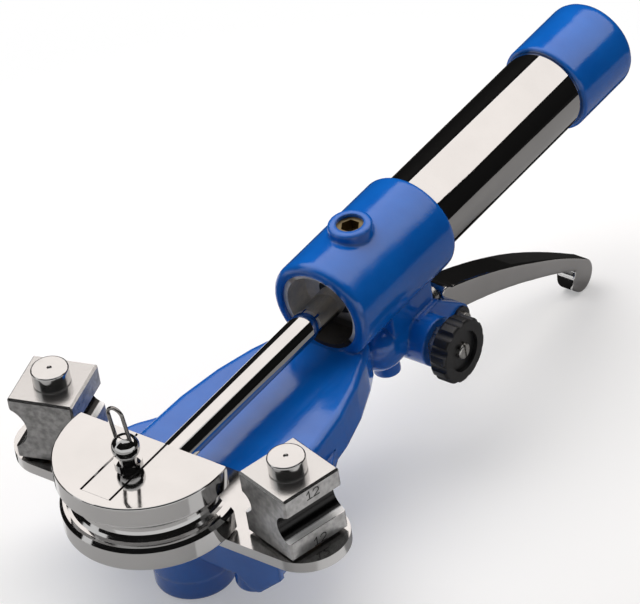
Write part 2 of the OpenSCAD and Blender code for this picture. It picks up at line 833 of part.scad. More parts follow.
module on_loop() translate(loop_place) rotate([0, -loop_lean, 0]) children();

module loop_legs(gap, len) {
  for (side = [-1, 1]) on_loop() translate([side * loop_w / 2, 0, 0]) cylinder(r = wire_r + gap, h = len);
}

module former_pin() {
  bottom = former_z + 1;
  color(chrome)
  difference() {
    union() {
      translate([0, lock_y, bottom]) cylinder(d = lock_d, h = former_top - bottom + over);
      translate([0, lock_y, former_top]) cylinder(r = lock_d / 2 + 1.5, h = lock_collar_t);
      translate([0, lock_y, former_top]) cylinder(r = lock_d / 2 - 1, h = ball_z - former_top);
      translate([0, lock_y, ball_z]) sphere(d = lock_ball_d);
    }
    loop_legs(fit_gap, lock_ball_d);
  }
}

module pull_wire() {
  leg = loop_h - loop_w / 2;
  color(steel) {
    loop_legs(0, leg);
    on_loop() translate([0, 0, leg]) rotate([90, 0, 0])
      rotate_extrude(angle = 180) translate([loop_w / 2, 0]) circle(wire_r, $fn = 24);
  }
}

// Pump lever and plunger, drawn in the pump frame

module lever_slab() translate([-lever_w / 2, 0, 0]) rotate([90, 0, 90]) linear_extrude(lever_w) children();

module lever_disc(at, r) {
  translate([-lever_w / 2, at[0], at[1]]) rotate([0, 90, 0]) cylinder(r = r, h = lever_w);
}

module pump_lever() {
  pivot = [pivot_y, pivot_z];
  heel = [pivot_y, plunger_z];
  tip = [pivot_y + lever_len, pivot_z - lever_flare];
  neck = [pivot_y + 6, plunger_z + 1];
  root = [pivot_y + 12, pivot_z - 4];
  tip_r = 8.5;
  boss_r = pivot_d / 2 + 2.5;
  along = (tip - neck) / norm(tip - neck);
  out = [along[1], -along[0]];
  color(chrome)
  pump_frame() difference() {
    union() {
      lever_slab() polygon(concat(arc(neck, tip, 4.7), arc(tip + lever_t * out, root, -4), [pivot]));
      lever_slab() polygon([heel + [0, heel_r], neck + [1, -1], root, pivot - [0, boss_r], pivot - [3, 0],
                            heel - [3, 0]]);
      lever_disc(heel, heel_r);
      lever_disc(pivot, boss_r);
      lever_disc(tip + out * tip_r, tip_r);
    }
    translate([0, pivot_y, pivot_z]) rotate([0, 90, 0])
      cylinder(d = pivot_d + 2 * run_gap, h = 2 * lever_w, center = true);
  }
}

pivot_clip_x = ear_x + ear_t + clip_gap;
pivot_tail = 2.5;

module pivot_cross(x) pump_frame() translate([x, pivot_y, pivot_z]) rotate([0, 90, 0]) children();

module lever_pivot_pin() {
  half = pivot_clip_x + circlip_t + pivot_tail;
  color(steel)
  pivot_cross(-half) difference() {
    rotate_extrude() polygon(bar_outline(pivot_d / 2, 2 * half, 0.6, 0.6));
    for (x = [pivot_tail, 2 * half - pivot_tail - circlip_t])
      translate([0, 0, x - fit_gap]) ring(pivot_d / 2 - circlip_depth, pivot_d, circlip_t + 2 * fit_gap);
  }
}

module pivot_clips() {
  color(dark_steel)
  for (x = [-pivot_clip_x - circlip_t, pivot_clip_x])
    pivot_cross(x) open_clip(pivot_d / 2 - circlip_depth + fit_gap, pivot_d / 2 + 2.2, circlip_t);
}

module pump_plunger() {
  color(steel) {
    on_plunger(plunger_y) cylinder(d = plunger_d, h = plunger_end_y - plunger_y - 0.5);
    on_plunger(plunger_end_y - collar_t) cylinder(r = collar_r, h = collar_t);
  }
}

module plunger_spring() {
  wire = 1.2;
  curls = 5;
  ring_turn = 45;
  inner_r = (plunger_d / 2 + slide_gap) / cos(ring_turn / 2);
  len = plunger_end_y - collar_t - pocket_y;
  color(dark_steel)
  on_plunger(pocket_y) coil(inner_r + wire / 2, wire, len, curls, "plunger_spring");
}

module plunger_seal() {
  color(rubber)
  on_plunger(pocket_y - plunger_seal_t)
    ring(plunger_d / 2 + run_gap, plunger_d / 2 + 2 - fit_gap, plunger_seal_t);
}

// Two check valves: the delivery ball sits on the casting's port and opens outwards,
// the intake ball sits on the port of its own plug and opens inwards

check_ball_h = check_seat + sqrt(check_ball_r * check_ball_r - check_port_r * check_port_r) + fit_gap;
check_spring_h = check_ball_h + check_ball_r - 1;
check_plug_h = check_end - check_plug_t;
check_curls = 2;
intake_turn = 0;
delivery_turn = 90;

// The same parts, turned end for end between the casting's seat and the plug
module check_flip() translate([0, 0, check_seat + check_plug_h]) mirror([0, 0, 1]) children();

module check_ball() translate([0, 0, check_ball_h]) sphere(r = check_ball_r, $fn = 32);

module check_spring(name) {
  translate([0, 0, check_spring_h])
    coil(check_spring_r, check_spring_wire, check_plug_h - check_spring_h - fit_gap, check_curls, name);
}

module check_plug(port_r) {
  key_r = 2;
  key_depth = 2;
  translate([0, 0, check_plug_h]) difference() {
    cylinder(r = check_r - fit_gap, h = check_plug_t);
    translate([0, 0, check_plug_t - key_depth]) cylinder(r = key_r, h = key_depth + over, $fn = 6);
    if (port_r > 0) translate([0, 0, -over]) cylinder(r = port_r, h = check_plug_t + 2 * over);
  }
}

module intake_ball() color(steel) check_place(intake_turn) check_flip() check_ball();

module intake_spring() color(dark_steel) check_place(intake_turn) check_flip() check_spring("intake_spring");

module intake_plug() color(steel) check_place(intake_turn) check_plug(check_port_r);

module delivery_ball() color(steel) check_place(delivery_turn) check_ball();

module delivery_spring() color(dark_steel) check_place(delivery_turn) check_spring("delivery_spring");

module delivery_plug() color(steel) check_place(delivery_turn) check_plug(0);

// Release valve

module valve_gland_nut() {
  color(steel)
  on_valve(valve_boss_x) difference() {
    cylinder(r = valve_nut_r, h = valve_nut_t, $fn = 6);
    translate([0, 0, -over]) cylinder(r = stem_r + run_gap, h = valve_nut_t + 2 * over);
  }
}

spindle_seal_t = 2;

module spindle_seal() {
  color(rubber)
  on_valve(valve_boss_x - spindle_seal_t) ring(stem_r + run_gap, valve_r, spindle_seal_t);
}

module release_spindle() {
  tip_len = 3;
  tip_r = 0.8;
  tip_x = valve_tip_x + slide_gap;
  shoulder_x = valve_boss_x - spindle_seal_t - slide_gap;
  stem_end_x = knob_x + knob_t - knob_dish - over;
  color(steel)
  on_valve() difference() {
    union() {
      translate([0, 0, tip_x]) cylinder(r1 = tip_r, r2 = valve_r, h = tip_len);
      translate([0, 0, tip_x + tip_len]) cylinder(r = valve_r, h = shoulder_x - tip_x - tip_len);
      translate([0, 0, shoulder_x - over]) cylinder(r = stem_r, h = stem_end_x - shoulder_x + over);
    }
    translate([0, 0, stem_end_x - knob_screw_len]) cylinder(r = knob_hole_r, h = 2 * knob_screw_len);
  }
}

module release_knob() {
  edge = 1.5;
  rim_w = 6;
  scallop_r = 3.2;
  scallop_depth = 1.3;
  color(rubber)
  on_valve(knob_x) difference() {
    rotate_extrude() polygon(bar_outline(knob_d / 2, knob_t, edge, edge));
    for (i = [0:knob_scallops - 1]) rotate([0, 0, 360 * i / knob_scallops])
      translate([knob_d / 2 + scallop_r - scallop_depth, 0, -over])
      cylinder(r = scallop_r, h = knob_t + 2 * over);
    translate([0, 0, knob_t - knob_dish]) cylinder(r = knob_d / 2 - rim_w, h = knob_dish + over);
    translate([0, 0, -over]) cylinder(r = stem_r + fit_gap, h = knob_t - knob_dish);
    cylinder(r = knob_hole_r, h = knob_t + over);
  }
}

module knob_screw() {
  head_r = 4;
  head_h = 2.4;
  crown_r = 1.2;
  slot_w = 1;
  color(chrome)
  on_valve(knob_x + knob_t - knob_dish) difference() {
    union() {
      rotate_extrude() polygon(bar_outline(head_r, head_h, 0.1, crown_r));
      translate([0, 0, -knob_screw_len]) cylinder(r = knob_hole_r - fit_gap, h = knob_screw_len + over);
    }
    translate([-head_r, -slot_w / 2, head_h - crown_r]) cube([2 * head_r, slot_w, head_h]);
  }
}

// Filler

module filler_plug() {
  plug_top = filler_top - filler_sink;
  plug_z = filler_seat + filler_washer_t;
  key_depth = 5;
  color(brass)
  translate([0, filler_y, 0]) difference() {
    translate([0, 0, plug_z]) cylinder(r = filler_hole_r - fit_gap, h = plug_top - plug_z);
    translate([0, 0, plug_top - key_depth])
      cylinder(r = filler_key / sqrt(3), h = key_depth + over, $fn = 6);
  }
}

module filler_washer() {
  color("peru")
  translate([0, filler_y, filler_seat]) ring(filler_hole_r - 2, filler_hole_r - fit_gap, filler_washer_t);
}

body_casting();
cross_plate();
plate_screws();
left_swivel_pin();
right_swivel_pin();
thrust_washers();
swivel_circlips();
left_block();
right_block();
handle_tube();
tube_seal();
end_cap();
tank_bladder();
pressure_cylinder();
gland_nut();
wiper_ring();
rod_bush();
rod_seal();
spring_seat();
return_spring();
piston();
piston_seal();
piston_nut();
ram_rod();
ram_head();
former();
former_pin();
pull_wire();
pump_lever();
lever_pivot_pin();
pivot_clips();
pump_plunger();
plunger_spring();
plunger_seal();
intake_ball();
intake_spring();
intake_plug();
delivery_ball();
delivery_spring();
delivery_plug();
valve_gland_nut();
spindle_seal();
release_spindle();
release_knob();
knob_screw();
filler_plug();
filler_washer();
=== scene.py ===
"""Looks of a hand-pumped hydraulic tube bender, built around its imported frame."""

import json
import math

import bpy
from mathutils import Matrix, Vector


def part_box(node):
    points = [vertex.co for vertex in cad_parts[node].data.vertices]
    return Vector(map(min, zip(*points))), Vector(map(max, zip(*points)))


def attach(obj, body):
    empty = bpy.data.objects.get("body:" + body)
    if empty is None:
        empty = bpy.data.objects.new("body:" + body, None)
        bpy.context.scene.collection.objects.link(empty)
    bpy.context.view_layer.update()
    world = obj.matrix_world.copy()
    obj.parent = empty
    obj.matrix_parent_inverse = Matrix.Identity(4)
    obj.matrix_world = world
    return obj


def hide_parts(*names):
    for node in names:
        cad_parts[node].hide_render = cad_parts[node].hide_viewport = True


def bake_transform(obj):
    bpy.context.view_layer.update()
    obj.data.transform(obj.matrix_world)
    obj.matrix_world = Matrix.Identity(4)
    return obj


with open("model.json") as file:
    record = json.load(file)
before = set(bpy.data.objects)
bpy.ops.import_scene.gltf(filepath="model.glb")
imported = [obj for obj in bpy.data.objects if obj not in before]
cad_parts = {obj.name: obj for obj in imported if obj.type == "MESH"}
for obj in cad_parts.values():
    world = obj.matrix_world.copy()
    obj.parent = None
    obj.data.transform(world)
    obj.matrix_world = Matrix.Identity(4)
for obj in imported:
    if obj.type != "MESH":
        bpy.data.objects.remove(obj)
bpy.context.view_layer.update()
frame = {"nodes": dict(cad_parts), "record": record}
nodes = frame["nodes"]

MM = 0.001
UP = Vector((0, 0, 1))

# Camera: the picture is 640 x 604, the lens is long and the tool leans in the frame
SENSOR = 36.0
LENS = 321.4
CAMERA_CLIP = (0.1, 50.0)
CAMERA_AZIMUTH = math.radians(41.457)
CAMERA_ELEVATION = math.radians(38.563)
CAMERA_ROLL = math.radians(-9.367)
CAMERA_EYE = Vector((1.3498, -1.4145, 1.7008))

# Floor: its disc, where its rim fades, its grey under the lamps and the share of plain white in sight
FLOOR_RADIUS = 0.62
FLOOR_POINTS = 96
FLOOR_FADE = (0.24, 0.40)
FLOOR_GREY = 0.9
FLOOR_WHITE = 0.3

# Where the tool stands: the foot's front edge, the lever's rest in front of its tip, and the gap below
FOOT_FRONT = -17 * MM
LEVER_REST = 9 * MM
FLOOR_GAP = 0.5 * MM

# Softbox overhead, its sides measured to the camera's right and away from it
SOFTBOX_HEIGHT = 0.89
SOFTBOX_NEAR = 0.19
SOFTBOX_FAR = 1.25
SOFTBOX_LEFT = -0.9
SOFTBOX_RIGHT = 1.85
SOFTBOX_RADIANCE = 1.7
SOFTBOX_COLOUR = (1.0, 0.945, 0.91)

# Fill lamp, and the room's own light
FILL_PLACE = Vector((-0.9, 0.2, 2.0))
FILL_AIM = Vector((0, 0.1, 0))
FILL_SIZE = (2.4, 2.4)
FILL_RADIANCE = 1.5
FILL_COLOUR = (1, 1, 1)
ROOM_LIGHT = 0.22

# Cards around the tool: tracks of (right, away) points with a lower and an upper edge, and level sides
FLAG_BLACK = 0.02
BACK_FLAG = [(-1.6, 0.1), (-1.4, 1.0), (-0.9, 1.36), (1.0, 1.36), (1.9, 0.9), (2.1, -0.6)]
BACK_FLAG_EDGES = (-0.3, 0.95)
FRONT_FLAG = [(-1.3, -0.2), (-0.8, -0.9), (0.7, -0.9), (1.9, -0.6), (2.1, 0.3)]
FRONT_FLAG_EDGES = (0.4, 2.6)
TABLE_FLAG = (-2.2, -1.6, 2.4, 1.8)
TABLE_FLAG_HEIGHT = -0.3
SOFTBOX_BACK_GAP = 0.01

# Cards on the floor: how pale each one is, and its (x, y) corners in the tool's frame
FLOOR_FLAG_LIFT = 1 * MM
FLOOR_FLAGS = {
    "grip_flag": (FLAG_BLACK, [(0.012, 0.24), (0.012, 0.5), (-0.35, 0.8), (-0.35, 0.24)]),
    "side_flag": (0.32, [(0.013, 0.06), (0.5, 0.06), (0.5, 0.6), (0.013, 0.6)]),
    "hub_flag": (FLAG_BLACK, [(-0.02, 0.0), (-0.02, 0.1), (-0.5, 0.1), (-0.5, 0.0)]),
    "near_flag": (0.64, [(-0.5, -0.5), (0.5, -0.5), (0.5, -0.03), (0.055, -0.045), (0.03, -0.085),
                         (-0.02, -0.085), (-0.04, -0.03), (-0.5, -0.03)]),
}

# Counter blocks: the place of a pin, half a block's width, its turn in the photo and its grooves' height
BLOCK_PIN = 66 * MM
BLOCK_HALF = 16 * MM
BLOCK_TURN = math.radians(15)
GROOVE_HEIGHT = 71.5 * MM

# A groove's painted shade: how far up and down it reaches, and how deep below the block's sides it begins
GROOVE_REACH = (9 * MM, 9.5 * MM)
GROOVE_DEPTH = (0.4 * MM, 0.2 * MM)

# Lever: the grid and the passes that round it, the length over which its width draws in, and by what share
LEVER_GRID = 0.4 * MM
LEVER_PASSES = 45
LEVER_TAPER = 0.055
LEVER_DRAWN_IN = 0.42

# Number stamps: the tube size, its strokes in shares of its height, and the height of each stamp's middle
STAMP_TEXT = "12"
STAMP_HEIGHT = 4.2 * MM
STAMP_PROUD = 0.03 * MM
STAMPS = {"upper_stamp": 84.2 * MM, "lower_stamp": 57.6 * MM}
STROKE_WIDTH = 0.13
DIGIT_WIDTH = 0.9
DIGIT_STEP = 0.95
DIGITS = {
    "1": [[(-0.3, 0.7), (0.05, 1.0), (0.05, 0.0)], [(-0.3, 0.0), (0.4, 0.0)]],
    "2": [[(-0.4, 0.75), (-0.28, 0.93), (0.0, 1.0), (0.28, 0.93), (0.4, 0.75), (0.34, 0.52),
           (-0.4, 0.0), (0.42, 0.0)]],
}

# Colours, and the height of a fine grain
SILVER = (0.51, 0.505, 0.50)
# A lighter copy of the silver, painted light on the lever's sides
LIT_LEVER_SILVER = (0.62, 0.61, 0.60)
# Painted highlight along the lower lip of a counter block's groove
PAINTED_LIP_HIGHLIGHT = (0.95, 0.95, 0.95)
DEEP_BLUE = (0.003, 0.105, 0.46)
ROYAL_BLUE = (0.004, 0.125, 0.52)
TURNED_STEEL = (0.5, 0.49, 0.47)
WIRE_STEEL = (0.26, 0.25, 0.24)
BARE_STEEL = (0.90, 0.83, 0.70)
# Painted shade over the lower half of the gland's cup
LOWER_PAINTED_SHADE = (0.05, 0.045, 0.04)
DARK_STEEL = (0.09, 0.09, 0.095)
BRONZE = (0.45, 0.3, 0.14)
BRASS = (0.24, 0.19, 0.10)
COPPER = (0.62, 0.3, 0.19)
RUBBER = (0.02, 0.02, 0.02)
BLACK_PLASTIC = (0.008, 0.008, 0.009)
# Shades of the painted shadow inside the stamps' strokes
STAMP_DARK = (0.016, 0.015, 0.014)
STAMP_LIGHT = (0.024, 0.023, 0.021)
GRAIN = 0.03 * MM


# Camera and stage


def add_object(name, data):
    """A new object in the scene."""
    obj = bpy.data.objects.new(name, data)
    bpy.context.scene.collection.objects.link(obj)
    return obj


def floor_axes():
    """Level directions to the camera's right and away from it."""
    return (Vector((math.cos(CAMERA_AZIMUTH), math.sin(CAMERA_AZIMUTH), 0)),
            Vector((-math.sin(CAMERA_AZIMUTH), math.cos(CAMERA_AZIMUTH), 0)))


def camera_axes():
    """Right, up and back directions of the camera."""
    level_right, away = floor_axes()
    back = UP * math.sin(CAMERA_ELEVATION) - away * math.cos(CAMERA_ELEVATION)
    level_up = back.cross(level_right)
    c, s = math.cos(CAMERA_ROLL), math.sin(CAMERA_ROLL)
    return c * level_right + s * level_up, c * level_up - s * level_right, back


def make_camera():
    """The camera at the photo's place, with its long lens."""
    data = bpy.data.cameras.new("camera")
    data.sensor_width = SENSOR
    data.lens = LENS
    data.clip_start, data.clip_end = CAMERA_CLIP
    camera = add_object("camera", data)
    turn = Matrix(camera_axes()).transposed().to_4x4()
    camera.matrix_world = Matrix.Translation(CAMERA_EYE) @ turn
    bpy.context.scene.camera = camera


def shader_tree(name):
    """A new material with its nodes cleared, its tree and its output node."""
    mat = bpy.data.materials.new(name)
    mat.use_nodes = True
    tree = mat.node_tree
    tree.nodes.clear()
    return mat, tree, tree.nodes.new("ShaderNodeOutputMaterial")


def maths(tree, operation, one, other):
    """Two numbers put together, of which the second may be plain."""
    node = tree.nodes.new("ShaderNodeMath")
    node.operation = operation
    tree.links.new(one, node.inputs[0])
    if isinstance(other, bpy.types.NodeSocket):
        tree.links.new(other, node.inputs[1])
    else:
        node.inputs[1].default_value = other
    return node.outputs[0]


def mixed_shaders(tree, share, one, other):
    """A blend from one shader to the other as the share rises from nought to one."""
    node = tree.nodes.new("ShaderNodeMixShader")
    tree.links.new(share, node.inputs["Fac"])
    tree.links.new(one.outputs[0], node.inputs[1])
    tree.links.new(other.outputs[0], node.inputs[2])
    return node


def in_sight(tree):
    """One for what the camera sees, directly, in metal or through glass, and nought for other light."""
    path = tree.nodes.new("ShaderNodeLightPath")
    seen = path.outputs["Is Camera Ray"]
    for ray in ("Is Glossy Ray", "Is Transmission Ray"):
        seen = maths(tree, "MAXIMUM", seen, path.outputs[ray])
    return seen


def floor_plane():
    """The frame of the sloping floor, which the foot's front edge and the lever's tip stand on."""
    foot_front = Vector((0.0, FOOT_FRONT, 0.0))
    lever_lo, lever_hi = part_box("pump_lever")
    tip = Vector((0.0, lever_hi.y - LEVER_REST, lever_lo.z))
    slope = math.atan2(tip.z - foot_front.z, tip.y - foot_front.y)
    middle = (foot_front + tip) / 2 - UP * FLOOR_GAP
    return Matrix.Translation(middle) @ Matrix.Rotation(slope, 4, "X")


def floor_material():
    """Pale matt grey, whiter in sight, fading out at the rim and clear from below."""
    mat, tree, out = shader_tree("floor")
    grey = tree.nodes.new("ShaderNodeBsdfDiffuse")
    grey.inputs["Color"].default_value = (FLOOR_GREY, FLOOR_GREY, FLOOR_GREY, 1)
    white = tree.nodes.new("ShaderNodeEmission")
    paled = mixed_shaders(tree, maths(tree, "MULTIPLY", in_sight(tree), FLOOR_WHITE), grey, white)
    place = tree.nodes.new("ShaderNodeTexCoord")
    length = tree.nodes.new("ShaderNodeVectorMath")
    length.operation = "LENGTH"
    tree.links.new(place.outputs["Object"], length.inputs[0])
    fade = tree.nodes.new("ShaderNodeMapRange")
    fade.interpolation_type = "SMOOTHSTEP"
    fade.inputs["From Min"].default_value, fade.inputs["From Max"].default_value = FLOOR_FADE
    tree.links.new(length.outputs["Value"], fade.inputs["Value"])
    side = tree.nodes.new("ShaderNodeNewGeometry")
    gone = maths(tree, "MAXIMUM", fade.outputs["Result"], side.outputs["Backfacing"])
    clear = tree.nodes.new("ShaderNodeBsdfTransparent")
    tree.links.new(mixed_shaders(tree, gone, paled, clear).outputs[0], out.inputs["Surface"])
    return mat


def make_floor():
    """A pale round floor."""
    turns = [math.tau * i / FLOOR_POINTS for i in range(FLOOR_POINTS)]
    rim = [(FLOOR_RADIUS * math.cos(turn), FLOOR_RADIUS * math.sin(turn), 0.0) for turn in turns]
    mesh = bpy.data.meshes.new("floor")
    mesh.from_pydata(rim, [], [list(range(FLOOR_POINTS))])
    mesh.materials.append(floor_material())
    floor = add_object("floor", mesh)
    floor.matrix_world = floor_plane()


def area_light(name, place, turn, size, radiance, colour, in_gloss):
    """A soft rectangular lamp of a given radiance, seen in gloss or not and never by the camera."""
    data = bpy.data.lights.new(name, "AREA")
    data.shape = "RECTANGLE"
    data.size, data.size_y = size
    data.energy = radiance * math.pi * size[0] * size[1]
    data.color = colour
    lamp = add_object(name, data)
    lamp.location = place
    lamp.rotation_mode = "QUATERNION"
    lamp.rotation_quaternion = turn
    lamp.visible_camera = False
    lamp.visible_glossy = in_gloss


def make_lights():
    """One long overhead softbox, turned with the camera, and a broad fill that no metal mirrors."""
    right, away = floor_axes()
    middle = (right * (SOFTBOX_LEFT + SOFTBOX_RIGHT) / 2 + away * (SOFTBOX_NEAR + SOFTBOX_FAR) / 2
              + UP * SOFTBOX_HEIGHT)
    level = Matrix.Rotation(CAMERA_AZIMUTH, 3, "Z").to_quaternion()
    size = (SOFTBOX_RIGHT - SOFTBOX_LEFT, SOFTBOX_FAR - SOFTBOX_NEAR)
    area_light("softbox", middle, level, size, SOFTBOX_RADIANCE, SOFTBOX_COLOUR, True)
    aimed = (FILL_AIM - FILL_PLACE).to_track_quat("-Z", "Y")
    area_light("fill", FILL_PLACE, aimed, FILL_SIZE, FILL_RADIANCE, FILL_COLOUR, False)


def make_flag(name, verts, faces, shade=FLAG_BLACK):
    """A black or grey card that is seen in reflections only."""
    mat, tree, out = shader_tree(name)
    cloth = tree.nodes.new("ShaderNodeBsdfDiffuse")
    cloth.inputs["Color"].default_value = (shade, shade, shade, 1)
    tree.links.new(cloth.outputs[0], out.inputs["Surface"])
    mesh = bpy.data.meshes.new(name)
    mesh.from_pydata(verts, [], faces)
    mesh.materials.append(mat)
    flag = add_object(name, mesh)
    flag.visible_camera = False
    flag.visible_diffuse = False
    flag.visible_shadow = False


def standing_flag(name, track, edges):
    """A black card on edge along a track of (right, away) points."""
    right, away = floor_axes()
    n = len(track)
    verts = [right * x + away * y + UP * z for z in edges for x, y in track]
    make_flag(name, verts, [(i, i + 1, n + i + 1, n + i) for i in range(n - 1)])


def level_flag(name, sides, height):
    """A level black card, from its left, near, right and far side as the camera looks."""
    right, away = floor_axes()
    x0, y0, x1, y1 = sides
    corners = ((x0, y0), (x1, y0), (x1, y1), (x0, y1))
    make_flag(name, [right * x + away * y + UP * height for x, y in corners], [(0, 1, 2, 3)])


def floor_flag(name, shade, outline):
    """A card of a given shade that lies on the sloping floor."""
    plane = floor_plane()
    flat = plane.inverted()
    verts = []
    for x, y in outline:
        spot = flat @ Vector((x, y, 0))
        verts.append(plane @ Vector((spot.x, spot.y, FLOOR_FLAG_LIFT)))
    make_flag(name, verts, [tuple(range(len(verts)))], shade)


def make_flags():
    """Cards that draw the dark and grey bands in the chrome, and the softbox's black back."""
    standing_flag("back_flag", BACK_FLAG, BACK_FLAG_EDGES)
    standing_flag("front_flag", FRONT_FLAG, FRONT_FLAG_EDGES)
    level_flag("table_flag", TABLE_FLAG, TABLE_FLAG_HEIGHT)
    level_flag("softbox_back", (SOFTBOX_LEFT, SOFTBOX_NEAR, SOFTBOX_RIGHT, SOFTBOX_FAR),
               SOFTBOX_HEIGHT + SOFTBOX_BACK_GAP)
    for name, (shade, outline) in FLOOR_FLAGS.items():
        floor_flag(name, shade, outline)


def make_world():
    """White behind the tool and in its metal, and a dim grey room for the light that reaches it."""
    world = bpy.data.worlds.new("studio")
    bpy.context.scene.world = world
    world.use_nodes = True
    tree = world.node_tree
    tree.nodes.clear()
    out = tree.nodes.new("ShaderNodeOutputWorld")
    room = tree.nodes.new("ShaderNodeBackground")
    room.inputs["Strength"].default_value = ROOM_LIGHT
    white = tree.nodes.new("ShaderNodeBackground")
    for back in (room, white):
        back.inputs["Color"].default_value = (1, 1, 1, 1)
    tree.links.new(mixed_shaders(tree, in_sight(tree), room, white).outputs[0], out.inputs["Surface"])


# Materials


class Look:
    """A principled material under construction, with its noise in part coordinates."""

    def __init__(self, name):
        self.mat, self.tree, out = shader_tree(name)
        self.bsdf = self.tree.nodes.new("ShaderNodeBsdfPrincipled")
        self.tree.links.new(self.bsdf.outputs[0], out.inputs["Surface"])
        self.place = self.tree.nodes.new("ShaderNodeTexCoord")

    def set(self, **values):
        """Plain values of the shader, named as it names them."""
        for key, value in values.items():
            self.bsdf.inputs[key.replace("_", " ")].default_value = value
        return self

    def noise(self, scale, detail=3.0):
        """Soft noise, of which about as many cells as the scale says fit in a metre."""
        node = self.tree.nodes.new("ShaderNodeTexNoise")
        node.inputs["Scale"].default_value = scale
        node.inputs["Detail"].default_value = detail
        self.tree.links.new(self.place.outputs["Object"], node.inputs["Vector"])
        return node.outputs["Fac"]

    def spread(self, value, low, high, start=0.3, end=0.7):
        """A value carried from the stretch between start and end to that between low and high."""
        node = self.tree.nodes.new("ShaderNodeMapRange")
        node.inputs["From Min"].default_value = start
        node.inputs["From Max"].default_value = end
        node.inputs["To Min"].default_value = low
        node.inputs["To Max"].default_value = high
        self.tree.links.new(value, node.inputs["Value"])
        return node.outputs["Result"]

    def mixed(self, value, dark, light):
        """A colour between two others, each a plain colour or the output of another mix."""
        node = self.tree.nodes.new("ShaderNodeMix")
        node.data_type = "RGBA"
        for key, colour in (("A", dark), ("B", light)):
            socket = next(i for i in node.inputs if i.name == key and i.type == "RGBA")
            if isinstance(colour, bpy.types.NodeSocket):
                self.tree.links.new(colour, socket)
            else:
                socket.default_value = (*colour, 1)
        self.tree.links.new(value, node.inputs["Factor"])
        return next(o for o in node.outputs if o.type == "RGBA")

    def colours(self, value, dark, light):
        """The surface's colour, between two others."""
        self.tree.links.new(self.mixed(value, dark, light), self.bsdf.inputs["Base Color"])
        return self

    def measure(self, vector, along, start=0.0, either_side=False):
        """How far a vector reaches along a direction past a start, or to either side of it."""
        dot = self.tree.nodes.new("ShaderNodeVectorMath")
        dot.operation = "DOT_PRODUCT"
        dot.inputs[1].default_value = along
        self.tree.links.new(vector, dot.inputs[0])
        past = maths(self.tree, "SUBTRACT", dot.outputs["Value"], start)
        if not either_side:
            return past
        size = self.tree.nodes.new("ShaderNodeMath")
        size.operation = "ABSOLUTE"
        self.tree.links.new(past, size.inputs[0])
        return size.outputs[0]

    def times(self, one, other):
        """Where both of two masks hold."""
        return maths(self.tree, "MULTIPLY", one, other)

    def rough(self, value):
        """The surface's roughness."""
        self.tree.links.new(value, self.bsdf.inputs["Roughness"])
        return self

    def metal(self, value):
        """How far the surface is metal."""
        self.tree.links.new(value, self.bsdf.inputs["Metallic"])
        return self

    def soft_edges(self, radius):
        """Edges shaded as if rounded, for cast and worn pieces."""
        node = self.tree.nodes.new("ShaderNodeBevel")
        node.samples = 6
        node.inputs["Radius"].default_value = radius
        self.tree.links.new(node.outputs["Normal"], self.bsdf.inputs["Normal"])
        return self

    def bump(self, value, height):
        """Relief of a given height, laid over any relief before it."""
        node = self.tree.nodes.new("ShaderNodeBump")
        node.inputs["Distance"].default_value = height
        node.inputs["Strength"].default_value = 1.0
        self.tree.links.new(value, node.inputs["Height"])
        if self.bsdf.inputs["Normal"].is_linked:
            before = self.bsdf.inputs["Normal"].links[0].from_socket
            self.tree.links.new(before, node.inputs["Normal"])
        self.tree.links.new(node.outputs["Normal"], self.bsdf.inputs["Normal"])
        return self


def shaded(colour, share):
    """A colour made darker or lighter by a share."""
    return [share * c for c in colour]


def paint():
    """Royal blue gloss enamel with the slight waves of paint over a casting."""
    look = Look("blue_enamel").set(IOR=1.6).soft_edges(2.2 * MM)
    look.colours(look.spread(look.noise(60), 0, 1), DEEP_BLUE, ROYAL_BLUE)
    look.rough(look.spread(look.noise(220), 0.10, 0.17))
    look.bump(look.noise(700, 1.0), GRAIN)
    look.bump(look.noise(70, 1.0), 0.18 * MM)
    return look.mat


def chrome(name, base, low, high, wave=0.02 * MM):
    """Bright plate with faint smears and the shallow waves of the polished metal below."""
    look = Look(name).set(Metallic=1.0)
    look.colours(look.spread(look.noise(45), 0, 1), shaded(base, 0.94), base)
    look.rough(look.spread(look.noise(160, 4.0), low, high))
    look.bump(look.noise(140, 2.0), wave)
    return look.mat


